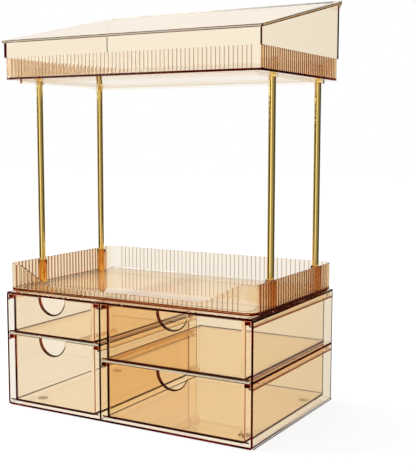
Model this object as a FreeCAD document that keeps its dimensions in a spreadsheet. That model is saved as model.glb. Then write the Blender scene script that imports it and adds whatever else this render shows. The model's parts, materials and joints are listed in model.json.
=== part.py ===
import FreeCAD, Part
import math
import os
import Sketcher
from FreeCAD import Placement, Rotation, Vector

# Makeup organizer: a case with four drawers, a reeded tray on it, four posts and an upper
# bin with a slanted, hinged lid.  Millimetres.  +X is to the right, +Y to the back, +Z up.
# The origin is the centre of the floor rectangle under the whole object.

os.makedirs("parts", exist_ok=True)
doc = FreeCAD.newDocument("makeup_organizer")

SIZES = [
    # case
    ("case_width", 320.0), ("case_depth", 208.2), ("case_height", 133.2),
    ("case_wall", 2.5), ("case_corner", 4.0), ("case_back_round", 3.0),
    ("foot_height", 1.0), ("foot_diameter", 12.0), ("foot_inset_side", 26.0),
    ("foot_inset_front", 32.0), ("foot_inset_back", 30.0),
    # divider, shelves and runners
    ("divider_offset", 27.3), ("divider_thickness", 2.4),
    ("shelf_thickness", 2.2), ("left_shelf_height", 83.9), ("right_shelf_height", 67.4),
    ("runner_width", 2.6), ("runner_height", 1.3),
    # drawers
    ("drawer_side_gap", 7.2), ("drawer_top_gap", 0.6), ("drawer_length", 202.1),
    ("upper_floor_gap", 0.3), ("lower_floor_gap", 3.1),
    ("drawer_wall", 2.0), ("drawer_floor", 2.0), ("drawer_front", 3.0),
    ("drawer_corner", 2.5), ("rim_width", 6.2), ("rim_height", 3.8),
    ("rim_seat", 0.3), ("grip_radius", 17.8),
    # reeded tray
    ("tray_overhang", 0.2), ("tray_setback", 2.1), ("tray_back_setback", 2.4),
    ("tray_height", 30.7), ("tray_floor", 2.5), ("tray_wall", 2.6), ("tray_corner", 13.0),
    ("tray_foot_height", 1.8), ("scoop_height", 9.0), ("scoop_inset", 69.7),
    ("scoop_slope", 27.5), ("scoop_low_radius", 40.0), ("scoop_high_radius", 20.0),
    ("tray_flute_pitch", 5.9), ("bin_flute_pitch", 5.0), ("flute_depth", 0.4),
    ("foot_ring_inset", 11.7), ("foot_ring_width", 2.2),
    # posts
    ("post_inset", 8.4), ("front_post_setback", 54.8), ("rear_post_setback", 35.9),
    ("post_diameter", 7.5), ("post_wall", 0.8), ("post_length", 237.7),
    ("post_play", 0.05), ("sleeve_diameter", 11.0), ("sleeve_height", 27.2),
    ("insert_length", 14.0), ("screw_diameter", 3.0), ("screw_play", 0.05),
    ("screw_hole_play", 0.2), ("screw_bite", 10.0), ("screw_head_diameter", 5.6),
    ("screw_head_height", 2.2), ("socket_width", 2.3), ("socket_depth", 1.2),
    ("countersink_height", 1.3),
    # upper bin
    ("bin_overhang", 2.8), ("bin_setback", 7.3), ("bin_back_setback", 2.8),
    ("bin_front_height", 40.8), ("bin_floor", 2.5), ("bin_wall", 2.5),
    ("bin_inner_corner", 1.5), ("band_height", 24.5), ("band_corner", 6.0),
    ("bin_foot_height", 3.6), ("collar_diameter", 11.0), ("boss_diameter", 8.0),
    ("boss_height", 12.0),
    # lid and hinge
    ("lid_slope", 12.8), ("lid_thickness", 2.8), ("lid_overhang", 1.4), ("lid_seat", 0.3),
    ("hinge_offset", 5.1), ("hinge_diameter", 4.2), ("hinge_web", 6.5),
    ("knuckle_length", 10.4), ("knuckle_gap", 0.4),
    ("pin_diameter", 1.8), ("pin_play", 0.05),
]

sheet = doc.addObject("Spreadsheet::Sheet", "Sizes")
for row, (alias, size) in enumerate(SIZES, start=1):
    sheet.set(f"A{row}", alias)
    sheet.set(f"B{row}", str(size))
    sheet.setAlias(f"B{row}", alias)
doc.recompute()


def cells(text):
    """Turn the size names in a formula into references to the sheet."""
    known = {alias for alias, size in SIZES}
    word = ""
    result = ""
    for letter in text + " ":
        if letter.isalnum() or letter == "_":
            word += letter
            continue
        result += f"Sizes.{word}" if word in known else word
        result += letter
        word = ""
    return result.strip()


def value(text):
    """Number that a formula of sizes has now."""
    return float(sheet.evalExpression(cells(text)))


# Places that several pieces share, as formulas of the sizes
FRONT_Y = "(-(case_depth - bin_back_setback + hinge_offset + hinge_diameter / 2) / 2)"
BACK_Y = f"({FRONT_Y} + case_depth)"
FLOOR_Z = "(foot_height + case_wall)"
CASE_TOP_Z = "(foot_height + case_height)"
ROOF_Z = f"({CASE_TOP_Z} - case_wall)"
WALL_X = "(case_width / 2 - case_wall)"
DIVIDER_LEFT_X = "(-divider_offset - divider_thickness / 2)"
DIVIDER_RIGHT_X = "(-divider_offset + divider_thickness / 2)"
TRAY_Z = f"({CASE_TOP_Z} + tray_foot_height)"
POST_Z = f"({TRAY_Z} + tray_floor)"
BIN_Z = f"({POST_Z} + post_length)"
BOSS_TOP_Z = f"({BIN_Z} + bin_floor + boss_height)"
TRAY_WIDTH = "(case_width + 2 * tray_overhang)"
TRAY_DEPTH = "(case_depth - tray_setback - tray_back_setback)"
TRAY_FRONT_Y = f"({FRONT_Y} + tray_setback)"
BIN_WIDTH = "(case_width + 2 * bin_overhang)"
BIN_DEPTH = "(case_depth - bin_setback - bin_back_setback)"
BIN_FRONT_Y = f"({FRONT_Y} + bin_setback)"
BIN_BACK_Y = f"({BIN_FRONT_Y} + {BIN_DEPTH})"
HINGE_Y = f"({BIN_BACK_Y} + hinge_offset)"
WALL_FRONT_Z = f"({BIN_Z} + bin_front_height)"
WALL_BACK_Z = f"({WALL_FRONT_Z} + {BIN_DEPTH} * tan(lid_slope))"
HINGE_Z = (f"({WALL_BACK_Z} + hinge_offset * tan(lid_slope)"
           " + (lid_seat + lid_thickness / 2) / cos(lid_slope))")
KNUCKLE_X = f"({BIN_WIDTH} / 2 - knuckle_length)"
POST_X = "(case_width / 2 - post_inset)"
FRONT_POST_Y = f"({FRONT_Y} + front_post_setback)"
REAR_POST_Y = f"({BACK_Y} - rear_post_setback)"

BAYS = {
    "upper_left": (f"(-{WALL_X})", DIVIDER_LEFT_X,
                   "(foot_height + left_shelf_height + shelf_thickness)", ROOF_Z),
    "lower_left": (f"(-{WALL_X})", DIVIDER_LEFT_X,
                   FLOOR_Z, "(foot_height + left_shelf_height)"),
    "upper_right": (DIVIDER_RIGHT_X, WALL_X,
                    "(foot_height + right_shelf_height + shelf_thickness)", ROOF_Z),
    "lower_right": (DIVIDER_RIGHT_X, WALL_X,
                    FLOOR_Z, "(foot_height + right_shelf_height)"),
}
POSTS = {
    "front_left": (f"(-{POST_X})", FRONT_POST_Y),
    "front_right": (POST_X, FRONT_POST_Y),
    "rear_left": (f"(-{POST_X})", REAR_POST_Y),
    "rear_right": (POST_X, REAR_POST_Y),
}


TOLERANCE = 0.001


def bind(item, formulas):
    """Bind properties of an object to formulas of the sizes."""
    for name, text in formulas.items():
        item.setExpression(name, cells(text))


def put(item, x, y, z):
    """Bind the base point of an object's placement."""
    bind(item, {"Placement.Base.x": x, "Placement.Base.y": y, "Placement.Base.z": z})
    return item


def box(name, corner, size):
    """Box from its low corner and its three sizes."""
    item = doc.addObject("Part::Box", name)
    bind(item, {"Length": size[0], "Width": size[1], "Height": size[2]})
    return put(item, *corner)


def cylinder(name, foot, diameter, height):
    """Upright cylinder from the centre of its foot."""
    item = doc.addObject("Part::Cylinder", name)
    bind(item, {"Radius": f"({diameter}) / 2", "Height": height})
    return put(item, *foot)


def rod(name, start, diameter, length):
    """Cylinder along X from the centre of its left end."""
    item = doc.addObject("Part::Cylinder", name)
    item.Placement = Placement(Vector(), Rotation(Vector(0, 1, 0), 90))
    bind(item, {"Radius": f"({diameter}) / 2", "Height": length})
    return put(item, *start)


def cut(name, base, tools):
    """The base with every tool taken away from it."""
    tool = tools[0] if len(tools) == 1 else fuse(name + "_tools", tools)
    item = doc.addObject("Part::Cut", name)
    item.Base = base
    item.Tool = tool
    return item


def fuse(name, shapes):
    """Solids joined into one."""
    item = doc.addObject("Part::MultiFuse", name)
    item.Shapes = shapes
    return item


def group(name, shapes):
    """Separate solids that share one node."""
    item = doc.addObject("Part::Compound", name)
    item.Links = shapes
    return item


def plain(name, shape):
    """Object whose shape is made directly."""
    item = doc.addObject("Part::Feature", name)
    item.Shape = shape
    return item


# Sketched bodies ------------------------------------------------------------------

def new_body(name):
    """Empty body."""
    return doc.addObject("PartDesign::Body", name)


def new_sketch(body, name, role, corner):
    """Sketch on an origin plane of the body, with its own origin moved to the corner."""
    sketch = body.newObject("Sketcher::SketchObject", name)
    origin_plane = next(part for part in body.Origin.OriginFeatures if part.Role == role)
    sketch.AttachmentSupport = [(origin_plane, "")]
    sketch.MapMode = "FlatFace"
    bind(sketch, {"AttachmentOffset.Base.x": corner[0],
                  "AttachmentOffset.Base.y": corner[1],
                  "AttachmentOffset.Base.z": corner[2]})
    return sketch


def rectangle(body, name, role, corner, size):
    """Sketch of a rectangle from its low corner, with both sides bound to the sizes."""
    sketch = new_sketch(body, name, role, corner)
    across, up = value(size[0]), value(size[1])
    points = [Vector(0, 0), Vector(across, 0), Vector(across, up), Vector(0, up)]
    for index, point in enumerate(points):
        sketch.addGeometry(Part.LineSegment(point, points[(index + 1) % 4]), False)
    for index in range(4):
        sketch.addConstraint(Sketcher.Constraint("Coincident", index, 2, (index + 1) % 4, 1))
    for index in (0, 2):
        sketch.addConstraint(Sketcher.Constraint("Horizontal", index))
    for index in (1, 3):
        sketch.addConstraint(Sketcher.Constraint("Vertical", index))
    sketch.addConstraint(Sketcher.Constraint("Coincident", 0, 1, -1, 1))
    wide = sketch.addConstraint(Sketcher.Constraint("DistanceX", 0, 1, 0, 2, across))
    high = sketch.addConstraint(Sketcher.Constraint("DistanceY", 1, 1, 1, 2, up))
    sketch.renameConstraint(wide, "across")
    sketch.renameConstraint(high, "up")
    bind(sketch, {"Constraints.across": size[0], "Constraints.up": size[1]})
    return sketch


def circle(body, name, role, centre, radius):
    """Sketch of a circle about its own origin."""
    sketch = new_sketch(body, name, role, centre)
    sketch.addGeometry(Part.Circle(Vector(), Vector(0, 0, 1), value(radius)), False)
    sketch.addConstraint(Sketcher.Constraint("Coincident", 0, 3, -1, 1))
    size = sketch.addConstraint(Sketcher.Constraint("Radius", 0, value(radius)))
    sketch.renameConstraint(size, "round")
    bind(sketch, {"Constraints.round": radius})
    return sketch


def pad(body, sketch, length, backwards=False):
    """Solid raised from a sketch along its normal, or against it."""
    item = body.newObject("PartDesign::Pad", sketch.Name + "_pad")
    item.Profile = sketch
    item.Reversed = backwards
    bind(item, {"Length": length})
    doc.recompute()
    return item


def pocket(body, sketch, length):
    """Hollow sunk from a sketch against its normal; it has to take material away."""
    before = body.Shape.Volume
    item = body.newObject("PartDesign::Pocket", sketch.Name + "_pocket")
    item.Profile = sketch
    bind(item, {"Length": length})
    doc.recompute()
    if item.Shape.Volume >= before:
        raise RuntimeError(f"{item.Name} cuts nothing")
    return item


def edges_along(shape, axis, chosen):
    """Names of the straight edges along an axis whose middle passes the test."""
    names = []
    for index, edge in enumerate(shape.Edges, start=1):
        if not isinstance(edge.Curve, Part.Line):
            continue
        if edge.Curve.Direction.cross(axis).Length > TOLERANCE:
            continue
        if chosen(edge.CenterOfMass):
            names.append(f"Edge{index}")
    return names


def fillet(body, name, base, names, radius):
    """Rounding of the named edges of a feature."""
    item = body.newObject("PartDesign::Fillet", name)
    item.Base = (base, names)
    bind(item, {"Radius": radius})
    doc.recompute()
    return item


# Case -----------------------------------------------------------------------------

def countersunk(name, place, play):
    """Countersunk screw, or with some play the hole for it, from the case roof upwards."""
    x, y = place
    head = doc.addObject("Part::Cone", name + "_head")
    bind(head, {"Radius1": f"screw_head_diameter / 2 + {play}",
                "Radius2": f"screw_diameter / 2 + {play}",
                "Height": "countersink_height"})
    put(head, x, y, ROOF_Z)
    shank = cylinder(name + "_shank", (x, y, ROOF_Z), f"screw_diameter + 2 * {play}",
                     f"{POST_Z} - {ROOF_Z} + screw_bite")
    return fuse(name, [head, shank])


def case_shell():
    """Box open at the front, with rounded long edges and the screw holes in its roof."""
    body = new_body("case_body")
    outline = rectangle(body, "case_outline", "XZ_Plane",
                        ("-case_width / 2", "foot_height", f"-{FRONT_Y}"),
                        ("case_width", "case_height"))
    block = pad(body, outline, "case_depth", backwards=True)
    long_edges = edges_along(block.Shape, Vector(0, 1, 0), lambda middle: True)
    rounded = fillet(body, "case_long_round", block, long_edges, "case_corner")
    back = value(BACK_Y)
    back_edges = [f"Edge{index}" for index, edge in enumerate(rounded.Shape.Edges, start=1)
                  if edge.BoundBox.YMin > back - TOLERANCE]
    fillet(body, "case_back_edges", rounded, back_edges, "case_back_round")
    opening = rectangle(body, "case_opening", "XZ_Plane",
                        (f"-{WALL_X}", FLOOR_Z, f"-{FRONT_Y}"),
                        (f"2 * {WALL_X}", f"{ROOF_Z} - {FLOOR_Z}"))
    pocket(body, opening, "case_depth - case_wall")
    holes = [countersunk(f"case_hole_{name}", place, "screw_hole_play")
             for name, place in POSTS.items()]
    return cut("case_shell", body, holes)


def centre_divider():
    """Upright panel between the columns, from the floor to the roof."""
    return box("centre_divider", (DIVIDER_LEFT_X, FRONT_Y, FLOOR_Z),
               ("divider_thickness", "case_depth - case_wall", f"{ROOF_Z} - {FLOOR_Z}"))


def shelf(name, bay):
    """Shelf under an upper bay, from side to side of it."""
    left, right, low, high = BAYS[bay]
    return box(name, (left, FRONT_Y, f"{low} - shelf_thickness"),
               (f"{right} - {left}", "case_depth - case_wall", "shelf_thickness"))


def rim_bottom(bay):
    """Height of the underside of the rims of the drawer in a bay."""
    return f"({BAYS[bay][3]} - drawer_top_gap - rim_height)"


def runners(bay):
    """Pair of ledges on the sides of a bay, just under the drawer rims."""
    left, right, low, high = BAYS[bay]
    seat = f"({rim_bottom(bay)} - rim_seat - runner_height)"
    size = ("runner_width", "case_depth - case_wall", "runner_height")
    return group(bay + "_runners", [
        box(bay + "_runner_a", (left, FRONT_Y, seat), size),
        box(bay + "_runner_b", (f"{right} - runner_width", FRONT_Y, seat), size),
    ])


def base_feet():
    """Four thin round pads under the case."""
    feet = []
    for side in ("-1", "1"):
        for depth in (f"{FRONT_Y} + foot_inset_front", f"{BACK_Y} - foot_inset_back"):
            x = f"{side} * (case_width / 2 - foot_inset_side)"
            feet.append(cylinder(f"foot_{len(feet) + 1}", (x, depth, "0"),
                                 "foot_diameter", "foot_height"))
    return group("base_feet", feet)


# Drawers --------------------------------------------------------------------------

def drawer(bay):
    """Tub with a rim along each side and a half-moon grip in the front."""
    left, right, low, high = BAYS[bay]
    floor_gap = "upper_floor_gap" if bay.startswith("upper") else "lower_floor_gap"
    x = f"({left} + drawer_side_gap)"
    across = f"({right} - {left} - 2 * drawer_side_gap)"
    bottom = f"({low} + {floor_gap})"
    top = f"({high} - drawer_top_gap)"
    body = new_body(bay + "_drawer")
    outline = rectangle(body, bay + "_outline", "XY_Plane", (x, FRONT_Y, bottom),
                        (across, "drawer_length"))
    block = pad(body, outline, f"{top} - {bottom}")
    corners = edges_along(block.Shape, Vector(0, 0, 1), lambda middle: True)
    fillet(body, bay + "_outer_corners", block, corners, "drawer_corner")
    hollow = rectangle(body, bay + "_hollow", "XY_Plane",
                       (f"{x} + drawer_wall", f"{FRONT_Y} + drawer_front", top),
                       (f"{across} - 2 * drawer_wall",
                        "drawer_length - drawer_front - drawer_wall"))
    cavity = pocket(body, hollow, f"{top} - {bottom} - drawer_floor")
    inside_left = value(f"{x} + drawer_wall / 2")
    inside_right = value(f"{x} + {across} - drawer_wall / 2")
    inside_front = value(f"{FRONT_Y} + drawer_front / 2")
    inside_back = value(f"{FRONT_Y} + drawer_length - drawer_wall / 2")
    inner = edges_along(cavity.Shape, Vector(0, 0, 1),
                        lambda middle: inside_left < middle.x < inside_right
                        and inside_front < middle.y < inside_back)
    fillet(body, bay + "_inner_corners", cavity, inner, "drawer_corner")
    grip = circle(body, bay + "_grip", "XZ_Plane",
                  (f"{x} + {across} / 2", top, f"-{FRONT_Y}"), "grip_radius")
    pocket(body, grip, "2 * drawer_front")
    for side, start in (("a", f"{x} - rim_width"), ("b", f"{x} + {across}")):
        rim = rectangle(body, f"{bay}_rim_{side}", "XZ_Plane",
                        (start, rim_bottom(bay), f"-{FRONT_Y}"),
                        ("rim_width", "rim_height"))
        pad(body, rim, "drawer_length", backwards=True)
    return body


# Reeded trays ---------------------------------------------------------------------

def arc(centre, radius, start, sweep):
    """Arc in the plane of its centre, by its start angle and sweep in degrees."""
    points = []
    for share in (0.0, 0.5, 1.0):
        angle = math.radians(start + sweep * share)
        points.append(centre + Vector(radius * math.cos(angle), radius * math.sin(angle), 0))
    return Part.Arc(*points).toShape()


def flutes(start, end, pitch, depth):
    """Row of round ribs between two points, bulging to the right of the way along."""
    span = end - start
    count = max(1, round(span.Length / pitch))
    step = span / count
    outwards = Vector(step.y, -step.x, 0).normalize() * depth
    edges = []
    for index in range(count):
        low = start + step * index
        edges.append(Part.Arc(low, low + step / 2 + outwards, low + step).toShape())
    return edges


def rounded_outline(left, right, front, back, radius, height, pitch=None, depth=0.0):
    """Face of a rectangle with round corners; with a pitch its straight sides are reeded."""
    turns = [
        (Vector(left + radius, front + radius, height), 180),
        (Vector(right - radius, front + radius, height), 270),
        (Vector(right - radius, back - radius, height), 0),
        (Vector(left + radius, back - radius, height), 90),
    ]
    corners = [arc(centre, radius, start, 90) for centre, start in turns]
    edges = []
    for index, corner in enumerate(corners):
        begin = corner.Vertexes[-1].Point
        end = corners[(index + 1) % 4].Vertexes[0].Point
        edges.append(corner)
        if pitch:
            edges += flutes(begin, end, pitch, depth)
        else:
            edges.append(Part.LineSegment(begin, end).toShape())
    return Part.Face(Part.Wire(edges))


def foot_ring(width, front, depth, corner, top, drop):
    """Closed rib under a tray, a little inside its outline."""
    inset = value("foot_ring_inset")
    thick = value("foot_ring_width")
    half = width / 2
    rings = []
    for step in (inset, inset + thick):
        radius = max(corner - step, thick)
        rings.append(rounded_outline(-half + step, half - step, front + step,
                                     front + depth - step, radius, top - drop))
    return rings[0].cut(rings[1]).extrude(Vector(0, 0, drop))


def reeded_block(width, front, depth, corner, base, height, pitch):
    """Solid with the reeded outline of a tray."""
    ridge = value("flute_depth")
    half = width / 2 - ridge
    face = rounded_outline(-half, half, front + ridge, front + depth - ridge,
                           corner - ridge, base, pitch, ridge)
    return face.extrude(Vector(0, 0, height))


def inner_block(width, front, depth, wall, corner, base, height):
    """Solid that hollows a tray out."""
    half = width / 2 - wall
    face = rounded_outline(-half, half, front + wall, front + depth - wall, corner, base)
    return face.extrude(Vector(0, 0, height))


def mirrored(point):
    """The same point on the other side of the middle."""
    return Vector(-point.x, point.y, point.z)


def scoop():
    """Solid that lowers the middle of the tray front: flat, round, slope, round."""
    low = value(f"{TRAY_Z} + scoop_height")
    rim = value(f"{TRAY_Z} + tray_height")
    plane = value(f"{TRAY_FRONT_Y} - tray_wall")
    slope = math.radians(value("scoop_slope"))
    first, second = value("scoop_low_radius"), value("scoop_high_radius")
    start = Vector(value(f"{TRAY_WIDTH} / 2 - scoop_inset"), plane, low)
    low_middle = start + Vector(first * math.sin(slope / 2), 0,
                                first * (1 - math.cos(slope / 2)))
    bend = start + Vector(first * math.sin(slope), 0, first * (1 - math.cos(slope)))
    rise = rim - bend.z - second * (1 - math.cos(slope))
    crest = bend + Vector(rise / math.tan(slope), 0, rise)
    end = crest + Vector(second * math.sin(slope), 0, rim - crest.z)
    high_middle = end - Vector(second * math.sin(slope / 2), 0,
                               second * (1 - math.cos(slope / 2)))
    above = end + Vector(0, 0, rim - low)
    side = [Part.Arc(start, low_middle, bend).toShape(),
            Part.LineSegment(bend, crest).toShape(),
            Part.Arc(crest, high_middle, end).toShape(),
            Part.LineSegment(end, above).toShape()]
    other_side = [edge.mirror(Vector(), Vector(1, 0, 0)) for edge in reversed(side)]
    roof = Part.LineSegment(above, mirrored(above)).toShape()
    floor = Part.LineSegment(mirrored(start), start).toShape()
    face = Part.Face(Part.Wire(side + [roof] + other_side + [floor]))
    return face.extrude(Vector(0, value("3 * tray_wall"), 0))


def organizer_tray():
    """Reeded tray on the case, with its scooped front, foot ring and screw pads."""
    width, depth = value(TRAY_WIDTH), value(TRAY_DEPTH)
    front, base = value(TRAY_FRONT_Y), value(TRAY_Z)
    corner, wall = value("tray_corner"), value("tray_wall")
    floor, height = value("tray_floor"), value("tray_height")
    shape = reeded_block(width, front, depth, corner, base, height,
                         value("tray_flute_pitch"))
    shape = shape.cut(inner_block(width, front, depth, wall, corner - wall,
                                  base + floor, height))
    shape = shape.cut(scoop())
    ring = foot_ring(width, front, depth, corner, base, value("tray_foot_height"))
    tray = plain("tray_shell", shape.fuse(ring).removeSplitter())
    pads = [cylinder(f"tray_pad_{name}", (x, y, CASE_TOP_Z), "collar_diameter",
                     "tray_foot_height + tray_floor") for name, (x, y) in POSTS.items()]
    holes = [cylinder(f"tray_hole_{name}", (x, y, CASE_TOP_Z),
                      "screw_diameter + 2 * screw_hole_play",
                      "tray_foot_height + tray_floor") for name, (x, y) in POSTS.items()]
    return cut("organizer_tray", fuse("tray_with_pads", [tray] + pads), holes)


# Posts and their fasteners --------------------------------------------------------

def sleeve(name, place):
    """Sleeve round the foot of a post."""
    x, y = place
    outer = cylinder(f"{name}_sleeve_outer", (x, y, POST_Z), "sleeve_diameter",
                     "sleeve_height")
    bore = cylinder(f"{name}_sleeve_bore", (x, y, POST_Z), "post_diameter + 2 * post_play",
                    "sleeve_height")
    return cut(f"{name}_sleeve", outer, [bore])


def post(name, place):
    """Tube from the tray floor to the underside of the bin."""
    x, y = place
    outer = cylinder(f"{name}_tube", (x, y, POST_Z), "post_diameter", "post_length")
    bore = cylinder(f"{name}_tube_bore", (x, y, POST_Z), "post_diameter - 2 * post_wall",
                    "post_length")
    return cut(f"{name}_post", outer, [bore])


def post_inserts():
    """Threaded insert in each end of each tube."""
    inserts = []
    for name, (x, y) in POSTS.items():
        for end, z in (("low", POST_Z), ("high", f"({BIN_Z} - insert_length)")):
            label = f"{name}_insert_{end}"
            outer = cylinder(label + "_outer", (x, y, z),
                             "post_diameter - 2 * post_wall - 2 * post_play",
                             "insert_length")
            bore = cylinder(label + "_bore", (x, y, z), "screw_diameter + 2 * screw_play",
                            "insert_length")
            inserts.append(cut(label, outer, [bore]))
    return group("post_inserts", inserts)


def hex_socket(name, foot):
    """Six-sided recess for a key."""
    item = doc.addObject("Part::Prism", name)
    item.Polygon = 6
    bind(item, {"Circumradius": "socket_width / 2 / cos(30)", "Height": "socket_depth"})
    return put(item, *foot)


def base_screws():
    """Countersunk screws from the case roof through the tray into the posts."""
    screws = []
    for name, (x, y) in POSTS.items():
        blank = countersunk(f"base_screw_blank_{name}", (x, y), "0")
        socket = hex_socket(f"base_screw_socket_{name}", (x, y, ROOF_Z))
        screws.append(cut(f"base_screw_{name}", blank, [socket]))
    return group("base_screws", screws)


def bin_screws():
    """Screws from the tops of the bin bosses down into the posts."""
    screws = []
    for name, (x, y) in POSTS.items():
        shank = cylinder(f"bin_screw_shank_{name}", (x, y, f"{BIN_Z} - screw_bite"),
                         "screw_diameter", f"{BOSS_TOP_Z} - {BIN_Z} + screw_bite")
        head = cylinder(f"bin_screw_head_{name}", (x, y, BOSS_TOP_Z),
                        "screw_head_diameter", "screw_head_height")
        socket = hex_socket(f"bin_screw_socket_{name}",
                            (x, y, f"{BOSS_TOP_Z} + screw_head_height - socket_depth"))
        screws.append(cut(f"bin_screw_{name}",
                          fuse(f"bin_screw_blank_{name}", [shank, head]), [socket]))
    return group("bin_screws", screws)


# Upper bin and lid ----------------------------------------------------------------

def side_prism(points, start, length):
    """Prism along X over an outline of (y, z) points."""
    corners = [Vector(start, y, z) for y, z in points]
    face = Part.Face(Part.makePolygon(corners + corners[:1]))
    return face.extrude(Vector(length, 0, 0))


def bin_shell():
    """Reeded band, wedge-shaped plain walls above it, floor, foot ring and hinge webs."""
    width, depth = value(BIN_WIDTH), value(BIN_DEPTH)
    front, back, base = value(BIN_FRONT_Y), value(BIN_BACK_Y), value(BIN_Z)
    band = value("band_height")
    shape = reeded_block(width, front, depth, value("band_corner"), base, band,
                         value("bin_flute_pitch"))
    walls = side_prism([(front, base + band), (back, base + band),
                        (back, value(WALL_BACK_Z)), (front, value(WALL_FRONT_Z))],
                       -width / 2, width)
    hollow = inner_block(width, front, depth, value("bin_wall"), value("bin_inner_corner"),
                         base + value("bin_floor"), value(WALL_BACK_Z) - base)
    shape = shape.fuse(walls).cut(hollow)
    shape = shape.fuse(foot_ring(width, front, depth, value("band_corner"), base,
                                 value("bin_foot_height")))
    hinge_y, hinge_z = value(HINGE_Y), value(HINGE_Z)
    round_radius = value("hinge_diameter / 2")
    web = [(back, value(WALL_BACK_Z) - value("hinge_web")), (back, value(WALL_BACK_Z)),
           (hinge_y, hinge_z), (hinge_y, hinge_z - round_radius)]
    length = value("knuckle_length")
    for start in (-width / 2, width / 2 - length):
        shape = shape.fuse(side_prism(web, start, length))
    return plain("bin_shell", shape.removeSplitter())


def upper_bin():
    """Bin with its post collars, screw bosses and the outer hinge knuckles."""
    pieces = [bin_shell()]
    holes = []
    for name, (x, y) in POSTS.items():
        pieces.append(cylinder(f"collar_{name}", (x, y, f"{BIN_Z} - bin_foot_height"),
                               "collar_diameter", "bin_foot_height + bin_floor"))
        pieces.append(cylinder(f"boss_{name}", (x, y, BIN_Z), "boss_diameter",
                               "bin_floor + boss_height"))
        holes.append(cylinder(f"collar_bore_{name}", (x, y, f"{BIN_Z} - bin_foot_height"),
                              "post_diameter + 2 * post_play", "bin_foot_height"))
        holes.append(cylinder(f"boss_bore_{name}", (x, y, BIN_Z),
                              "screw_diameter + 2 * screw_hole_play",
                              "bin_floor + boss_height"))
    for side, start in (("left", f"-{BIN_WIDTH} / 2"), ("right", KNUCKLE_X)):
        pieces.append(rod(f"knuckle_{side}", (start, HINGE_Y, HINGE_Z), "hinge_diameter",
                          "knuckle_length"))
    holes.append(rod("knuckle_bore", (f"-{BIN_WIDTH} / 2", HINGE_Y, HINGE_Z),
                     "pin_diameter + 2 * pin_play", BIN_WIDTH))
    return cut("upper_bin", fuse("bin_with_bosses", pieces), holes)


def lid():
    """Slanted plate with a hinge barrel along its rear edge, notched for the knuckles."""
    run = f"(({BIN_DEPTH} + hinge_offset + lid_overhang) / cos(lid_slope))"
    half = f"({BIN_WIDTH} / 2 + lid_overhang)"
    plate = doc.addObject("Part::Box", "lid_plate")
    plate.Placement = Placement(Vector(), Rotation(Vector(1, 0, 0), value("lid_slope")))
    bind(plate, {"Length": f"2 * {half}", "Width": run, "Height": "lid_thickness",
                 "Placement.Rotation.Angle": "lid_slope"})
    put(plate, f"-{half}",
        f"{HINGE_Y} - {run} * cos(lid_slope) + lid_thickness / 2 * sin(lid_slope)",
        f"{HINGE_Z} - {run} * sin(lid_slope) - lid_thickness / 2 * cos(lid_slope)")
    barrel_half = f"({KNUCKLE_X} - knuckle_gap)"
    barrel = rod("lid_barrel", (f"-{barrel_half}", HINGE_Y, HINGE_Z), "hinge_diameter",
                 f"2 * {barrel_half}")
    notch_size = (f"{half} - {barrel_half}", "2 * hinge_offset", "4 * hinge_diameter")
    notches = []
    for side, start in (("left", f"-{half}"), ("right", barrel_half)):
        notches.append(box(f"lid_notch_{side}",
                           (start, BIN_BACK_Y, f"{HINGE_Z} - 2 * hinge_diameter"),
                           notch_size))
    bore = rod("lid_bore", (f"-{barrel_half}", HINGE_Y, HINGE_Z),
               "pin_diameter + 2 * pin_play", f"2 * {barrel_half}")
    return cut("lid", fuse("lid_with_barrel", [plate, barrel]), notches + [bore])


def hinge_pin():
    """Pin through both knuckles and the lid barrel."""
    return rod("hinge_pin", (f"-{BIN_WIDTH} / 2", HINGE_Y, HINGE_Z), "pin_diameter",
               BIN_WIDTH)


# Assembly -------------------------------------------------------------------------

nodes = [case_shell(), centre_divider(), shelf("left_shelf", "upper_left"),
         shelf("right_shelf", "upper_right")]
nodes += [runners(bay) for bay in BAYS]
nodes += [drawer(bay) for bay in BAYS]
nodes += [base_feet(), organizer_tray()]
nodes += [sleeve(name, place) for name, place in POSTS.items()]
nodes += [post(name, place) for name, place in POSTS.items()]
nodes += [post_inserts(), base_screws(), bin_screws(), upper_bin(), lid(), hinge_pin()]
for node in nodes:
    node.Label = node.Name
doc.recompute()

for item in doc.Objects:
    if "Invalid" in item.State or "Error" in item.State:
        raise RuntimeError(f"{item.Name} failed: {item.State}")
for node in nodes:
    if node.Shape.isNull() or not node.Shape.isValid():
        raise RuntimeError(f"{node.Label} has no valid shape")
for node in nodes:
    node.Shape.exportStep(f"parts/{node.Label}.step")
    size = node.Shape.BoundBox
    print(f"{node.Label:24s} solids {len(node.Shape.Solids):2d}  volume {node.Shape.Volume:10.1f}"
          f"  x {size.XMin:7.1f} {size.XMax:7.1f}  y {size.YMin:7.1f} {size.YMax:7.1f}"
          f"  z {size.ZMin:7.1f} {size.ZMax:7.1f}")
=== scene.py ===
import json
import math

import bmesh
import bpy
from mathutils import Matrix, Vector


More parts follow.
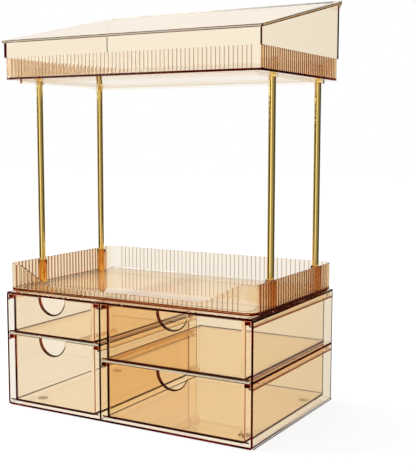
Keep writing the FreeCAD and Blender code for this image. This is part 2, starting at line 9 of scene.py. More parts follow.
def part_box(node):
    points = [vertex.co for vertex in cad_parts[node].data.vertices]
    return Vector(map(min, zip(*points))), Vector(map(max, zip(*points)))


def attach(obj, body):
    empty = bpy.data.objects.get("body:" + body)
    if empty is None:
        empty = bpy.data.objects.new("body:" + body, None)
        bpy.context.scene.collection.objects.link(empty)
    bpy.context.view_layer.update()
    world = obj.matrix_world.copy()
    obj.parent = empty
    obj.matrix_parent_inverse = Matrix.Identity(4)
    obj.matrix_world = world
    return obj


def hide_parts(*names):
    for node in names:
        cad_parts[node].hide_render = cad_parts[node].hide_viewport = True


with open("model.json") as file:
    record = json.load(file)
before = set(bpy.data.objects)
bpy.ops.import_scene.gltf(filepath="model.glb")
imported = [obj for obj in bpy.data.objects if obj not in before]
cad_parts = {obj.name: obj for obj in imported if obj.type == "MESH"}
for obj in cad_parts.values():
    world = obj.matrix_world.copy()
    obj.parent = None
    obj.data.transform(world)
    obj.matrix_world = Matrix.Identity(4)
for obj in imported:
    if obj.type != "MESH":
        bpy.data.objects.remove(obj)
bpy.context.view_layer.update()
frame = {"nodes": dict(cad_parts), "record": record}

scene = bpy.context.scene
nodes = frame["nodes"]
slot_of = {row["node"]: row["material_slot"] for row in frame["record"]["subparts"]}

# Lengths are in millimetres and are multiplied by this, unless a comment says metres
MM = 0.001
SIDEWAYS, BACKWARD, UPWARD = Vector((1, 0, 0)), Vector((0, 1, 0)), Vector((0, 0, 1))

# Camera -------------------------------------------------------------------------------

# Fitted to the photograph; the place is in metres
CAMERA_PLACE = (0.55466, -0.88625, 0.31238)
CAMERA_YAW = math.radians(29.778)
CAMERA_PITCH = math.radians(-6.139)
CAMERA_ROLL = math.radians(0.116)
CAMERA_LENS = 69.54
CAMERA_SENSOR = 36.0


def make_camera():
    """Camera at the photograph's place, looking towards the back left."""
    data = bpy.data.cameras.new("camera")
    data.sensor_width = CAMERA_SENSOR
    data.lens = CAMERA_LENS
    data.clip_start = 0.01
    camera = bpy.data.objects.new("camera", data)
    scene.collection.objects.link(camera)
    forward = Vector((-math.sin(CAMERA_YAW) * math.cos(CAMERA_PITCH),
                      math.cos(CAMERA_YAW) * math.cos(CAMERA_PITCH),
                      math.sin(CAMERA_PITCH)))
    right = forward.cross(UPWARD).normalized()
    up = right.cross(forward)
    rolled_right = right * math.cos(CAMERA_ROLL) + up * math.sin(CAMERA_ROLL)
    rolled_up = up * math.cos(CAMERA_ROLL) - right * math.sin(CAMERA_ROLL)
    turn = Matrix((rolled_right, rolled_up, -forward)).transposed()
    camera.matrix_world = Matrix.Translation(CAMERA_PLACE) @ turn.to_4x4()
    scene.camera = camera


# Materials ----------------------------------------------------------------------------

# Densities are per metre, and so are the scales of the noises
AMBER = (0.90, 0.615, 0.10)
AMBER_DENSITY = 78.0
SURFACE_TINT = (0.998, 0.992, 0.98)
WARM_SHEEN = (0.45, 0.17, 0.08)
ACRYLIC_IOR = 1.49
ACRYLIC_GLOSS = (0.0, 0.012)
# Painted shade: maroon where the eye looks along a sheet's edge or seam, brown in the reeding's
# valleys
EDGE_SHADE_MAROON = (0.26, 0.04, 0.008)
VALLEY_SHADE_BROWN = (0.12, 0.016, 0.003)
# (amount of painted shade, surface colour) of the reeding, from its front and back to the valleys
# of its sides
SIDE_SHADE_RAMP = [(0.05, (0.99, 0.985, 0.97)), (0.30, (0.96, 0.87, 0.70)), (0.50, (0.86, 0.62, 0.34)),
            (0.66, (0.64, 0.30, 0.10)), (0.82, (0.36, 0.10, 0.02))]
# (side, lowest and highest z) of the seams on the case's side walls, where maroon shade is painted
SEAM_SHADES = [(1, 68.2, 70.8), (-1, 84.7, 87.3), (1, 61.6, 62.6), (-1, 78.1, 79.1), (1, 124.9, 125.9),
         (-1, 124.9, 125.9), (1, 132.6, 134.3), (-1, 132.6, 134.3)]
SEAM_WALL_X = 157.0
PANEL_BACK_Y = -103.4
# Sockets of a colour mix node: its two colours and its result
MIX_COLOURS, MIX_RESULT = (6, 7), 2


def new_material(name):
    """Empty node material with its output."""
    material = bpy.data.materials.new(name)
    material.use_nodes = True
    material.node_tree.nodes.clear()
    output = material.node_tree.nodes.new("ShaderNodeOutputMaterial")
    return material, material.node_tree, output


def ramp_between(tree, source, low, high):
    """A value that follows the source between two limits."""
    node = tree.nodes.new("ShaderNodeMapRange")
    node.inputs["To Min"].default_value = low
    node.inputs["To Max"].default_value = high
    tree.links.new(source, node.inputs["Value"])
    return node.outputs["Result"]


def object_noise(tree, scale, detail=2.0, stretch=(1, 1, 1)):
    """Noise fixed to the object."""
    place = tree.nodes.new("ShaderNodeTexCoord")
    mapping = tree.nodes.new("ShaderNodeMapping")
    mapping.inputs["Scale"].default_value = stretch
    noise = tree.nodes.new("ShaderNodeTexNoise")
    noise.inputs["Scale"].default_value = scale
    noise.inputs["Detail"].default_value = detail
    tree.links.new(place.outputs["Object"], mapping.inputs["Vector"])
    tree.links.new(mapping.outputs["Vector"], noise.inputs["Vector"])
    return noise.outputs["Fac"]


def add_bump(tree, shader, height, strength, distance):
    """Bump from a height; the distance is in metres."""
    bump = tree.nodes.new("ShaderNodeBump")
    bump.inputs["Strength"].default_value = strength
    bump.inputs["Distance"].default_value = distance
    tree.links.new(height, bump.inputs["Height"])
    tree.links.new(bump.outputs["Normal"], shader.inputs["Normal"])


def acrylic(name, tint, density):
    """Clear tinted plastic: polished, a little wavy, tinted by its depth."""
    material, tree, output = new_material(name)
    shader = tree.nodes.new("ShaderNodeBsdfPrincipled")
    shader.name = "plastic"
    shader.inputs["Base Color"].default_value = (*SURFACE_TINT, 1)
    shader.inputs["Transmission Weight"].default_value = 1.0
    shader.inputs["IOR"].default_value = ACRYLIC_IOR
    shader.inputs["Specular Tint"].default_value = (*WARM_SHEEN, 1)
    tree.links.new(ramp_between(tree, object_noise(tree, 60), *ACRYLIC_GLOSS),
                   shader.inputs["Roughness"])
    add_bump(tree, shader, object_noise(tree, 22, 1.0), 0.008, 0.001)
    volume = tree.nodes.new("ShaderNodeVolumeAbsorption")
    volume.inputs["Color"].default_value = (*tint, 1)
    volume.inputs["Density"].default_value = density
    tree.links.new(shader.outputs["BSDF"], output.inputs["Surface"])
    tree.links.new(volume.outputs["Volume"], output.inputs["Volume"])
    return material


def calculate(tree, operation, first, second):
    """Result of an operation on two values, each a socket or a number."""
    node = tree.nodes.new("ShaderNodeMath")
    node.operation = operation
    for socket, value in zip(node.inputs, (first, second)):
        if isinstance(value, (int, float)):
            socket.default_value = value
        else:
            tree.links.new(value, socket)
    return node.outputs["Value"]


def mix_colours(tree, share, low, high):
    """Mix of two colours, each a socket or three numbers."""
    node = tree.nodes.new("ShaderNodeMix")
    node.data_type = "RGBA"
    tree.links.new(share, node.inputs["Factor"])
    for index, value in zip(MIX_COLOURS, (low, high)):
        if isinstance(value, tuple):
            node.inputs[index].default_value = (*value, 1)
        else:
            tree.links.new(value, node.inputs[index])
    return node.outputs[MIX_RESULT]


def object_place(tree):
    """Where a point lies on the object, and which way its face looks."""
    place = tree.nodes.new("ShaderNodeTexCoord")
    at = tree.nodes.new("ShaderNodeSeparateXYZ")
    facing = tree.nodes.new("ShaderNodeSeparateXYZ")
    tree.links.new(place.outputs["Object"], at.inputs["Vector"])
    tree.links.new(place.outputs["Normal"], facing.inputs["Vector"])
    return at, facing


def turned_from(tree, facing, axis):
    """1 on faces that look away from an axis."""
    return calculate(tree, "LESS_THAN",
                     calculate(tree, "ABSOLUTE", facing.outputs[axis], 0), 0.5)


def paint_edge_shade(material, tree, edge):
    """Surface tint, with painted maroon shade on the sheet's edges where edge is 1."""
    tree.links.new(mix_colours(tree, edge, SURFACE_TINT, EDGE_SHADE_MAROON),
                   tree.nodes["plastic"].inputs["Base Color"])
    return material


def amber_copy(name):
    """Copy of the amber plastic, with its nodes."""
    material = amber.copy()
    material.name = name
    return material, material.node_tree


def case_plastic():
    """Case plastic with painted maroon shade in bands where shelves, runners and the top meet its
    walls.
    """
    material, tree = amber_copy("case_amber")
    at, facing = object_place(tree)
    band_shades = None
    for way, low, high in SEAM_SHADES:
        inside = calculate(tree, "MULTIPLY",
                           calculate(tree, "GREATER_THAN", at.outputs["Z"], low * MM),
                           calculate(tree, "LESS_THAN", at.outputs["Z"], high * MM))
        beside = calculate(tree, "GREATER_THAN",
                           calculate(tree, "MULTIPLY", at.outputs["X"], way), SEAM_WALL_X * MM)
        one_band_shade = calculate(tree, "MULTIPLY", inside, beside)
        band_shades = one_band_shade if band_shades is None else calculate(tree, "MAXIMUM", band_shades, one_band_shade)
    return paint_edge_shade(material, tree,
                       calculate(tree, "MULTIPLY", band_shades, turned_from(tree, facing, "Z")))


def drawer_plastic(bay, density):
    """Drawer plastic, with painted maroon shade on its front panel's edges."""
    material, tree = amber_copy(f"{bay}_amber")
    volume = next(node for node in tree.nodes if node.type == "VOLUME_ABSORPTION")
    volume.inputs["Density"].default_value = density
    at, facing = object_place(tree)
    edge = calculate(tree, "MULTIPLY",
                     calculate(tree, "LESS_THAN", at.outputs["Y"], PANEL_BACK_Y * MM),
                     turned_from(tree, facing, "Y"))
    return paint_edge_shade(material, tree, edge)


def reeded(name):
    """The same plastic with painted shade from the mesh's attributes: browner on its sides, dark
    in its valleys and maroon on its marked edges.
    """
    material, tree = amber_copy(name)
    marks = {}
    for mark in ("valley", "shade_amount", "ribs", "maroon_shade"):
        node = tree.nodes.new("ShaderNodeAttribute")
        node.attribute_name = mark
        marks[mark] = node.outputs["Fac"]
    # The painted shade deepens towards the valleys
    deepened = calculate(tree, "ADD", calculate(tree, "MULTIPLY", marks["valley"], 0.5), 1.0)
    shade_amount = calculate(tree, "MULTIPLY", marks["shade_amount"], deepened)
    shade_ramp_node = tree.nodes.new("ShaderNodeValToRGB")
    ramp = shade_ramp_node.color_ramp
    while len(ramp.elements) < len(SIDE_SHADE_RAMP):
        ramp.elements.new(0.5)
    for element, (place, colour) in zip(ramp.elements, SIDE_SHADE_RAMP):
        element.position = place
        element.color = (*colour, 1)
    tree.links.new(shade_amount, shade_ramp_node.inputs["Fac"])
    line = tree.nodes.new("ShaderNodeMapRange")
    line.inputs["From Min"].default_value = 0.94
    line.inputs["From Max"].default_value = 1.05
    tree.links.new(calculate(tree, "ADD", marks["valley"],
                             calculate(tree, "MULTIPLY", shade_amount, 0.62)), line.inputs["Value"])
    lined = mix_colours(tree, line.outputs["Result"], shade_ramp_node.outputs["Color"], VALLEY_SHADE_BROWN)
    surface = mix_colours(tree, marks["ribs"], SURFACE_TINT, lined)
    tree.links.new(mix_colours(tree, marks["maroon_shade"], surface, EDGE_SHADE_MAROON),
                   tree.nodes["plastic"].inputs["Base Color"])
    return material


def satin(name, pale, warm, shine=0.5):
    """Satin surface, as of a sheet's cut edge: fine saw grain, uneven in colour."""
    material, tree, output = new_material(name)
    shader = tree.nodes.new("ShaderNodeBsdfPrincipled")
    tree.links.new(mix_colours(tree, object_noise(tree, 180, 3.0), pale, warm),
                   shader.inputs["Base Color"])
    shader.inputs["Specular IOR Level"].default_value = shine
    tree.links.new(ramp_between(tree, object_noise(tree, 900, 2.0), 0.30, 0.50),
                   shader.inputs["Roughness"])
    add_bump(tree, shader, object_noise(tree, 2500, 2.0), 0.1, 0.0001)
    tree.links.new(shader.outputs["BSDF"], output.inputs["Surface"])
    return material


def metal(name, colour, gloss):
    """Polished metal with faint drawn lines along Z."""
    material, tree, output = new_material(name)
    shader = tree.nodes.new("ShaderNodeBsdfPrincipled")
    shader.inputs["Base Color"].default_value = (*colour, 1)
    shader.inputs["Metallic"].default_value = 1.0
    tree.links.new(ramp_between(tree, object_noise(tree, 120, 3.0, (1, 1, 0.05)), *gloss),
                   shader.inputs["Roughness"])
    add_bump(tree, shader, object_noise(tree, 900, 3.0, (1, 1, 0.02)), 0.0015, 0.0002)
    tree.links.new(shader.outputs["BSDF"], output.inputs["Surface"])
    return material


amber = acrylic("amber_acrylic", AMBER, AMBER_DENSITY)
deep_amber = acrylic("deep_amber_acrylic", AMBER, 150.0)
sleeve_amber = acrylic("sleeve_amber_acrylic", (0.90, 0.55, 0.05), 420.0)
ribbed = reeded("amber_reeded")
# Opaque maroon satin for lines and crescents of painted shade
shade_satin = satin("painted_edge_shade", (0.085, 0.009, 0.002), (0.050, 0.004, 0.001), 0.05)
gold = metal("polished_gold", (0.92, 0.68, 0.22), (0.10, 0.16))
steel = metal("zinc_steel", (0.62, 0.60, 0.57), (0.2, 0.35))
pad = satin("amber_pad", (0.86, 0.70, 0.44), (0.82, 0.64, 0.36), 0.2)

MATERIALS = {"amber": amber, "gold": gold, "steel": steel, "pad": pad}
SPECIAL = {"case_shell": case_plastic(),
           "centre_divider": deep_amber,
           # The right-hand drawers get denser plastic than the left-hand ones, as painted shade
           # that darkens them
           "upper_left_drawer": drawer_plastic("upper_left", 68.0),
           "lower_left_drawer": drawer_plastic("lower_left", 68.0),
           "upper_right_drawer": drawer_plastic("upper_right", 88.0),
           "lower_right_drawer": drawer_plastic("lower_right", 140.0)}

for name, item in nodes.items():
    material = SPECIAL.get(name, MATERIALS[slot_of[name]])
    if name.endswith("_sleeve"):
        material = sleeve_amber
    for place in item.material_slots:
        place.material = material

# Soft edges ---------------------------------------------------------------------------

EDGE_ROUND = 0.4
CASE_EDGE_ROUND = 0.9
WELD_REACH = 0.01
SHARP_FROM = math.radians(40)
REPLACED = ("organizer_tray", "upper_bin")

for name, item in nodes.items():
    if slot_of[name] != "amber" or name in REPLACED:
        continue
    weld = item.modifiers.new("weld", "WELD")
    weld.merge_threshold = WELD_REACH * MM
    bevel = item.modifiers.new("bevel", "BEVEL")
    bevel.width = (CASE_EDGE_ROUND if name == "case_shell" else EDGE_ROUND) * MM
    bevel.segments = 3
    bevel.limit_method = "ANGLE"
    bevel.angle_limit = SHARP_FROM
    bevel.harden_normals = True

# Reeded tray and bin ------------------------------------------------------------------

RIB_DEPTH = 0.4
# Points along each rib and round each corner
RIB_STEPS = 10
TURN_STEPS = 12
# The foot ring under the tray and the bin
RING_INSET = 11.7
RING_WIDTH = 2.2
EDGE_CHAMFER = 0.3
# (distance from the wall's face, depth under its top) of a rounded rim
RIM_STEPS = [(0.0, 0.55), (0.08, 0.28), (0.28, 0.08), (0.55, 0.0)]
# Painted shade on the front and back, and how much more on the sides
FRONT_SHADE, SIDE_SHADE = 0.06, 0.35
CREASE_FROM = math.radians(34)
LID_SLOPE = math.radians(12.8)
POSTS = [(x, y) for x in (-151.6, 151.6) for y in (-51.5, 66.0)]


def new_piece(name, points, faces, material):
    """Object in the scene, from points in metres."""
    mesh = bpy.data.meshes.new(name)
    mesh.from_pydata(points, [], faces)
    mesh.materials.append(material)
    piece = bpy.data.objects.new(name, mesh)
    scene.collection.objects.link(piece)
    return piece


class Shell:
    """Vertices and faces of a piece, built from rings of points."""

    def __init__(self):
        self.points = []
        self.faces = []
        self.valleys = {}
        self.kinds = []

    def ring(self, points, valleys=None):
        """Add a closed ring and give the indices of its points."""
        first = len(self.points)
        self.points += [tuple(value * MM for value in point) for point in points]
        if valleys:
            for index, depth in enumerate(valleys):
                self.valleys[first + index] = depth
        return list(range(first, len(self.points)))

    def band(self, low, high, kind="plain"):
        """Quads between two rings with as many points, of a kind: plain, ribs, or an edge that
        takes painted maroon shade.
        """
        count = len(low)
        for index in range(count):
            after = (index + 1) % count
            self.faces.append((low[index], low[after], high[after], high[index]))
            self.kinds.append(kind if isinstance(kind, str) else kind[index])

    def chain(self, rings, kinds):
        """Bands through a list of rings, closed at both ends by flat faces."""
        for low, high, kind in zip(rings, rings[1:], kinds):
            self.band(low, high, kind)
        self.faces.append(tuple(reversed(rings[0])))
        self.faces.append(tuple(rings[-1]))
        self.kinds += ["plain", "plain"]

    def lathe(self, x, y, profile, steps=40):
        """Closed shell turned about an upright axis, from (radius, z) points in a loop."""
        rings = []
        for radius, z in profile:
            rings.append(self.ring([(x + radius * math.cos(turn), y + radius * math.sin(turn), z)
                                    for turn in (2 * math.pi * k / steps for k in range(steps))]))
        for low, high in zip(rings, rings[1:] + rings[:1]):
            self.band(low, high)

    def make(self, name, material):
        """Object of the shell, smooth but for its real corners."""
        piece = new_piece(name, self.points, self.faces, material)
        mesh = piece.data
        for kind in ("ribs", "maroon_shade"):
            marked = mesh.attributes.new(kind, "FLOAT", "FACE")
            marked.data.foreach_set("value", [float(each == kind) for each in self.kinds])
        # How much painted shade a face takes: a little everywhere, more where it looks sideways
        shade_amount = mesh.attributes.new("shade_amount", "FLOAT", "FACE")
        shade_amount.data.foreach_set("value", [FRONT_SHADE + SIDE_SHADE * abs(face.normal.x)
                                         for face in mesh.polygons])
        mesh.polygons.foreach_set("use_smooth", [True] * len(self.faces))
        valley = mesh.attributes.new("valley", "FLOAT", "POINT")
        valley.data.foreach_set("value", [self.valleys.get(index, 0.0)
                                          for index in range(len(self.points))])
        work = bmesh.new()
        work.from_mesh(mesh)
        for edge in work.edges:
            if len(edge.link_faces) == 2 and edge.calc_face_angle() > CREASE_FROM:
                edge.smooth = False
        work.to_mesh(mesh)
        work.free()
        weighted = piece.modifiers.new("even_normals", "WEIGHTED_NORMAL")
        weighted.keep_sharp = True
        return piece


class Outline:
    """Rectangle with round corners whose points keep their order at any inset."""

    def __init__(self, width, front, depth, corner, pitch):
        self.half, self.front, self.back = width / 2, front, front + depth
        straight = (width - 2 * corner, depth - 2 * corner)
        self.marks = []
        # How near its valley each point lies, from 0 on a rib's crest to 1
        self.valleys = []
        for side in range(4):
            self.marks += [("turn", side, k / TURN_STEPS, 0.0) for k in range(TURN_STEPS)]
            self.valleys += [0.0] * TURN_STEPS
            ribs = max(1, round(straight[side % 2] / pitch))
            step = straight[side % 2] / ribs
            round_radius = (step * step / 4 + RIB_DEPTH ** 2) / (2 * RIB_DEPTH)
            for rib in range(ribs):
                for k in range(RIB_STEPS):
                    share = k / RIB_STEPS
                    rise = (math.sqrt(round_radius ** 2 - (step * (share - 0.5)) ** 2)
                            - round_radius + RIB_DEPTH)
                    self.marks.append(("side", side, (rib + share) / ribs, rise))
                    self.valleys.append(abs(2 * share - 1))

    def at(self, inset, radius, ribbed_face=False):
        """Points of the outline moved in, with its own corner radius."""
        left, right = -self.half + inset, self.half - inset
        front, back = self.front + inset, self.back - inset
        centres = [(left + radius, front + radius), (right - radius, front + radius),
                   (right - radius, back - radius), (left + radius, back - radius)]
        starts = [180, 270, 0, 90]
        points = []
        for kind, side, share, rise in self.marks:
            if kind == "turn":
                x, y = centres[side]
                angle = math.radians(starts[side] + 90 * share)
                points.append((x + radius * math.cos(angle), y + radius * math.sin(angle)))
                continue
            outward = [(0, -1), (1, 0), (0, 1), (-1, 0)][side]
            begin, end = centres[side], centres[(side + 1) % 4]
            lift = radius + (rise if ribbed_face else 0.0)
            points.append((begin[0] + (end[0] - begin[0]) * share + outward[0] * lift,
                           begin[1] + (end[1] - begin[1]) * share + outward[1] * lift))
        return points

    def is_front(self, index):
        """True for a point on the straight part of the front."""
        kind, side = self.marks[index][:2]
        return kind == "side" and side == 0


def lifted(points, height):
    """Points with a height, one number or one for each point."""
    if not isinstance(height, list):
        height = [height] * len(points)
    return [(x, y, z) for (x, y), z in zip(points, height)]


def between(outer, inner, distance):
    """Points moved some way from the outer ring towards the inner one."""
    moved = []
    for (ox, oy), (ix, iy) in zip(outer, inner):
        length = math.hypot(ix - ox, iy - oy)
        share = distance / length
        moved.append((ox + (ix - ox) * share, oy + (iy - oy) * share))
    return moved


def tray_rings(shell, outline, corner, base, floor, foot, walls, shade_kind):
    """Rings from the middle of the underside, round the walls and back to the floor."""
    valleys = outline.valleys
    ring_corner = max(corner - RING_INSET, RING_WIDTH)
    inner_ring = outline.at(RING_INSET + RING_WIDTH,
                            max(corner - RING_INSET - RING_WIDTH, RING_WIDTH))
    outer_ring = outline.at(RING_INSET, ring_corner)
    ribbed_points = outline.at(RIB_DEPTH, corner - RIB_DEPTH, True)
    rings = [shell.ring(lifted(inner_ring, base)),
             shell.ring(lifted(inner_ring, base - foot)),
             shell.ring(lifted(outer_ring, base - foot)),
             shell.ring(lifted(outer_ring, base))]
    kinds = ["plain"] * 3
    middle = outline.front + 50
    inset = [(x + (EDGE_CHAMFER if x < 0 else -EDGE_CHAMFER),
              y + (EDGE_CHAMFER if y < middle else -EDGE_CHAMFER)) for x, y in ribbed_points]
    rings.append(shell.ring(lifted(inset, base)))
    rings.append(shell.ring(lifted(ribbed_points, base + EDGE_CHAMFER), valleys))
    rings.append(shell.ring(lifted(ribbed_points, base + floor - 0.1), valleys))
    kinds += ["plain", shade_kind, shade_kind, "ribs"]
    more, more_kinds = walls(ribbed_points, valleys)
    return rings + more, kinds + more_kinds


def scoop_height(x, base, rim):
    """Height of the tray front at a place along it."""
    low, slope, start = base + 9.0, math.radians(27.5), 90.5
    first, second = 40.0, 20.0
    bend = (start + first * math.sin(slope), low + first * (1 - math.cos(slope)))
    rise = rim - bend[1] - second * (1 - math.cos(slope))
    crest = bend[0] + rise / math.tan(slope)
    end = crest + second * math.sin(slope)
    x = abs(x)
    if x <= start:
        return low
    if x <= bend[0]:
        return low + first - math.sqrt(first ** 2 - (x - start) ** 2)
    if x <= crest:
        return bend[1] + (x - bend[0]) * math.tan(slope)
    if x <= end:
        return rim - second + math.sqrt(second ** 2 - (end - x) ** 2)
    return rim


def make_tray():
    """Reeded tray with its scooped front."""
    base, floor, wall, corner, height, foot = 136.0, 2.5, 2.6, 13.0, 30.7, 1.8
    outline = Outline(width=320.4, front=-104.2, depth=203.7, corner=corner, pitch=5.9)
    seat_low, seat_top, seat_hole, seat_round = 134.22, 135.98, 1.9, 5.5
    shell = Shell()

    def walls(ribbed_points, valleys):
        inner = outline.at(wall, corner - wall)
        tops = [scoop_height(x, base, base + height) if outline.is_front(index) else base + height
                for index, (x, y) in enumerate(ribbed_points)]
        rings = []
        for aside, down in RIM_STEPS:
            rings.append(shell.ring(lifted(between(ribbed_points, inner, aside),
                                           [top - down for top in tops]),
                                    [v * (1 if aside < 0.3 else 0.3) for v in valleys]))
        for aside, down in reversed(RIM_STEPS):
            rings.append(shell.ring(lifted(between(inner, ribbed_points, aside),
                                           [top - down for top in tops])))
        rings.append(shell.ring(lifted(inner, base + floor + 0.5)))
        rings.append(shell.ring(lifted(outline.at(wall + 0.5, corner - wall - 0.5), base + floor)))
        return rings, ["ribs"] * 3 + ["plain"] * 6

    # The floor's edges on the left and right take painted maroon shade
    shade_kind = ["maroon_shade" if kind == "side" and side % 2 else "plain"
                 for kind, side, share, rise in outline.marks]
    rings, kinds = tray_rings(shell, outline, corner, base, floor, foot, walls, shade_kind)
    shell.chain(rings, kinds)
    for x, y in POSTS:
        shell.lathe(x, y, [(seat_hole, seat_low), (seat_round, seat_low), (seat_round, seat_top),
                           (seat_hole, seat_top)])
    piece = shell.make("reeded_tray", ribbed)
    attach(piece, "frame")
    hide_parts("organizer_tray")


def make_bin():
    """Upper bin: reeded band, plain wedge walls, bosses, collars and hinge knuckles."""
    base, floor, wall, corner, foot, band = 376.2, 2.5, 2.5, 6.0, 3.6, 24.5
    front, depth, front_top, rise = -99.0, 198.1, 417.0, math.tan(LID_SLOPE)
    outline = Outline(width=325.6, front=front, depth=depth, corner=corner, pitch=5.0)
    shell = Shell()

    def walls(ribbed_points, valleys):
        plain_corner, inner_corner, floor_corner = 1.2, 1.5, 1.1
        plain = outline.at(0.0, plain_corner)
        inner = outline.at(wall, inner_corner)
        rings = [shell.ring(lifted(ribbed_points, base + band), valleys),
                 shell.ring(lifted(plain, base + band))]

        def tops(points, down):
            return [front_top + (y - front) * rise - down for x, y in points]

        for aside, down in RIM_STEPS:
            points = between(plain, inner, aside)
            rings.append(shell.ring(lifted(points, tops(points, down))))
        for aside, down in reversed(RIM_STEPS):
            points = between(inner, plain, aside)
            rings.append(shell.ring(lifted(points, tops(points, down))))
        rings.append(shell.ring(lifted(inner, base + floor + 0.4)))
        rings.append(shell.ring(lifted(outline.at(wall + 0.4, floor_corner), base + floor)))
        # The round corners of the plain band take painted maroon shade
        corners = ["maroon_shade" if kind == "turn" else "plain"
                   for kind, side, share, rise in outline.marks]
        return rings, ["plain", corners] + ["plain"] * 9

    # The floor's edge all round takes painted maroon shade
    rings, kinds = tray_rings(shell, outline, corner, base, floor, foot, walls, "maroon_shade")
    shell.chain(rings, kinds)
    # (radius, z) of the collars under the bin and of the bosses that stand on its floor
    collar = [(3.8, 372.6), (5.2, 372.6), (5.5, 372.9), (5.5, 376.18), (3.8, 376.18)]
    boss = [(1.7, 378.72), (4.0, 378.72), (4.0, 390.3), (3.6, 390.7), (1.7, 390.7)]
    for x, y in POSTS:
        shell.lathe(x, y, collar)
        shell.lathe(x, y, boss)
    hinge_y, hinge_z, knuckle, knuckle_steps = 104.2, 464.909, 2.1, 16
    wall_back, wall_top = 99.12, front_top + depth * rise
    profile = [(wall_back, wall_top - 6.5)]
    for k in range(knuckle_steps + 1):
        turn = math.radians(-100 + k * 225 / knuckle_steps)
        profile.append((hinge_y + knuckle * math.cos(turn), hinge_z + knuckle * math.sin(turn)))
    profile.append((wall_back, wall_top))
    for start, end in ((-162.8, -152.4), (152.4, 162.8)):
        low = shell.ring([(start, y, z) for y, z in profile])
        high = shell.ring([(end, y, z) for y, z in profile])
        shell.chain([low, high], ["plain"])
    piece = shell.make("reeded_bin", ribbed)
    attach(piece, "frame")
    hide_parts("upper_bin")


# Cut edges, painted highlights and lines of painted shade -----------------------------

# Depths of a strip under its sheet's face, and how far a line stands out of it
STRIP_UNDER = (0.10, 0.22)
STRIP_ROUND = 0.04
LINE_PROUD = (0.05, 0.01)
FRONT_FACE_Y = -106.3
# (bay, left and right of its tub, its lowest and highest z, middle of its grip)
BAYS = [("upper_left", -150.3, -35.7, 87.4, 131.1, -93.0),
        ("lower_left", -150.3, -35.7, 6.6, 84.3, -93.0),
        ("upper_right", -18.9, 150.3, 70.9, 131.1, 65.7),
        ("lower_right", -18.9, 150.3, 6.6, 67.8, 65.7)]


def strip(name, corners, material, body):
    """Thin satin strip just under a polished edge, from the eight corners of its box."""
    piece = new_piece(name, [corner * MM for corner in corners],
                      [(0, 1, 2, 3), (7, 6, 5, 4), (0, 4, 5, 1), (1, 5, 6, 2), (2, 6, 7, 3),
                       (3, 7, 4, 0)], material)
    soft = piece.modifiers.new("soft", "BEVEL")
    soft.width = STRIP_ROUND * MM
    soft.segments = 2
    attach(piece, body)


def strip_corners(ends, inward, upright, low, high):
    """Corners of a strip just under the face that holds its two ends."""
    near, far = STRIP_UNDER
    return [point + inward * depth + upright * rise for point in ends
            for depth, rise in ((near, low), (near, high), (far, high), (far, low))]


def round_turn(x, y, radius, start, steps=6):
    """Points of a quarter turn, clockwise from an angle."""
    return [(x + radius * math.cos(math.radians(start - 90 * k / steps)),
             y + radius * math.sin(math.radians(start - 90 * k / steps)))
            for k in range(steps + 1)]


def three_sides(left, right, front, back, corner):
    """Path up the left side, along the back and down the right side."""
    return ([(left, front)] + round_turn(left + corner, back - corner, corner, 180)
            + round_turn(right - corner, back - corner, corner, 90) + [(right, front)])


def shade_thread(name, rings, body):
    """Piece of painted shade through rings of four points each, closed at both ends."""
    faces = []
    for index in range(len(rings) - 1):
        here, after = 4 * index, 4 * index + 4
        for k in range(4):
            faces.append((here + k, after + k, after + (k + 1) % 4, here + (k + 1) % 4))
    last = 4 * (len(rings) - 1)
    faces += [(3, 2, 1, 0), (last, last + 1, last + 2, last + 3)]
    piece = new_piece(name, [Vector(point) * MM for ring in rings for point in ring], faces,
                      shade_satin)
    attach(piece, body)


def edge_line(name, path, low, high, body):
    """Line of painted shade along a sheet's edge, following a path; high is a number or a function
    of y.
    """
    far, near = LINE_PROUD
    rings = []
    for index, (x, y) in enumerate(path):
        before, after = path[max(index - 1, 0)], path[min(index + 1, len(path) - 1)]
        way = Vector((after[0] - before[0], after[1] - before[1])).normalized()
        top = high(y) if callable(high) else high
        rings.append([(x - way.y * proud, y + way.x * proud, z)
                      for proud, z in ((far, low), (far, top), (near, top), (near, low))])
    shade_thread(name, rings, body)


def grip_shade(name, x, top, body):
    """Crescent of painted shade at the grip's edge, seen through the front panel."""
    steps, inner, outer, aside, down, front, back = 36, 17.85, 19.5, 1.5, 0.4, -103.28, -103.24
    rings = []
    for k in range(steps + 1):
        angle = math.radians(180 + 165 * k / steps)
        across, along = math.cos(angle), math.sin(angle)
        near = (x + inner * across, top + inner * along)
        far = (x - aside + outer * across, top - down + outer * along)
        rings.append([(near[0], front, near[1]), (far[0], front, far[1]),
                      (far[0], back, far[1]), (near[0], back, near[1])])
    shade_thread(name, rings, body)


